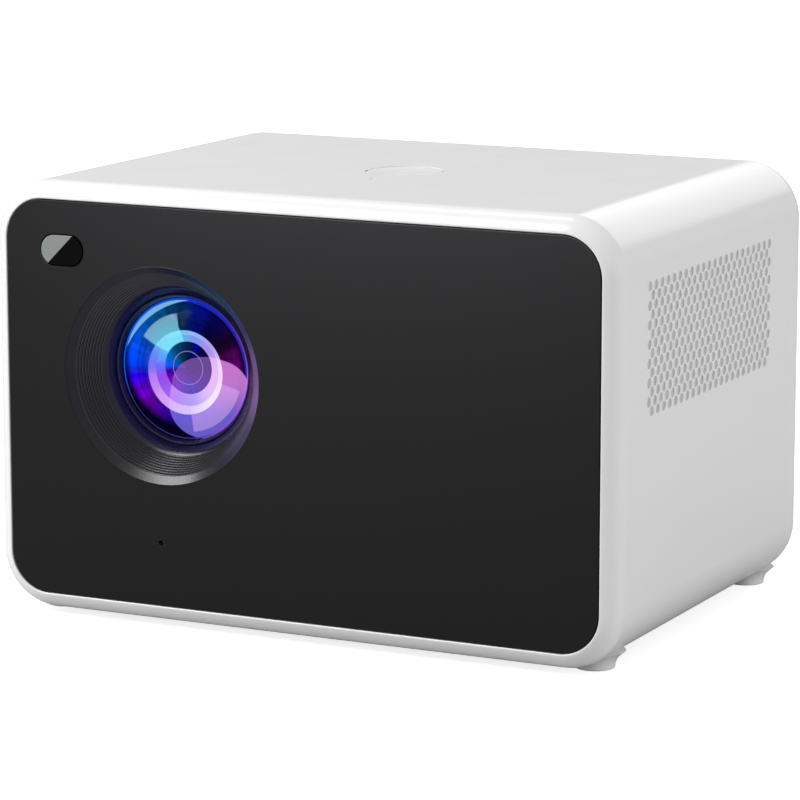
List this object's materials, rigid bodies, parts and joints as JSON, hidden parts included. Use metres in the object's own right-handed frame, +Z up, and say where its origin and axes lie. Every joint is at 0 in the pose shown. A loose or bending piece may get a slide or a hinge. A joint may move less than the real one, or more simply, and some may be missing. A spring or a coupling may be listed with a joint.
{
  "type": "home projector",
  "caption": "White rounded box projector with a dark front panel, a deep ringed lens at one side, a side grille and a round top button.",
  "frame": {"origin": "bottom centre: the feet stand on Z = 0, under the middle of the case", "axes": "+Z up; the lens looks along -Y; +X is to the right of someone who faces the lens"},
  "size_m": [0.24, 0.1753, 0.1558],
  "materials": {
    "white_shell": "gloss",
    "charcoal_panel": "satin",
    "black_plastic": "satin",
    "sensor_black": "gloss",
    "optical_glass": "coated",
    "steel": "satin",
    "aluminium": "satin",
    "mirror": "polished",
    "brass": "satin",
    "circuit_board": "solder mask",
    "silicone": "matt",
    "lcd_glass": "gloss"
  },
  "bodies": {
    "root": {"case_sleeve": "white_shell", "base_plate": "white_shell", "foot_front_left": "white_shell", "foot_front_right": "white_shell", "foot_back_left": "white_shell", "foot_back_right": "white_shell", "front_panel": "charcoal_panel", "rear_panel": "charcoal_panel", "lens_hood": "black_plastic", "lens_bracket": "black_plastic", "remote_receiver": "black_plastic", "engine_housing": "black_plastic", "engine_cover": "black_plastic", "fan_frame": "black_plastic", "audio_socket": "black_plastic", "mains_inlet": "black_plastic", "speaker_cone": "black_plastic", "sensor_window": "sensor_black", "front_fresnel": "optical_glass", "rear_fresnel": "optical_glass", "heat_glass": "optical_glass", "condenser_lens": "optical_glass", "status_light": "optical_glass", "base_screw_1": "steel", "base_screw_2": "steel", "base_screw_3": "steel", "base_screw_4": "steel", "rear_screw_1": "steel", "rear_screw_2": "steel", "rear_screw_3": "steel", "rear_screw_4": "steel", "guide_rod_upper": "steel", "guide_rod_lower": "steel", "focus_motor": "steel", "hdmi_socket_1": "steel", "hdmi_socket_2": "steel", "usb_socket_1": "steel", "usb_socket_2": "steel", "speaker_basket": "steel", "led_board": "aluminium", "heat_sink": "aluminium", "processor_heat_sink": "aluminium", "microphone": "aluminium", "folding_mirror": "mirror", "reflector": "mirror", "tripod_insert": "brass", "transformer": "brass", "button_board": "circuit_board", "main_board": "circuit_board", "power_board": "circuit_board", "button_dome": "silicone", "lcd_panel": "lcd_glass"},
    "lens_cell": {"lens_barrel": "black_plastic", "front_lens": "optical_glass", "middle_lens": "optical_glass", "rear_lens": "optical_glass", "lens_retaining_ring": "black_plastic"},
    "focus_screw": {"focus_screw": "brass"},
    "power_button": {"power_button": "white_shell"},
    "fan_impeller": {"fan_impeller": "black_plastic"}
  },
  "joints": [
    {"name": "focus_slide", "type": "slide", "parent": "root", "child": "lens_cell", "axis": [0, -1, 0], "range_m": [-0.003, 0.004]},
    {"name": "focus_screw_spin", "type": "hinge", "parent": "root", "child": "focus_screw", "pos_m": [-0.013, -0.0405, 0.0903], "axis": [0, -1, 0], "range_deg": [-361, 481]},
    {"name": "power_button_press", "type": "slide", "parent": "root", "child": "power_button", "axis": [0, 0, -1], "range_m": [0, 0.0008], "stiffness_N_per_m": 400, "springref_m": -0.001, "deforming": ["button_dome"]},
    {"name": "fan_spin", "type": "hinge", "parent": "root", "child": "fan_impeller", "pos_m": [0.0945, 0.02, 0.096], "axis": [1, 0, 0], "continuous": true}
  ],
  "couplings": [
    {"joint": "focus_screw_spin", "follows": "focus_slide", "rad_per_m": 2094.4}
  ]
}
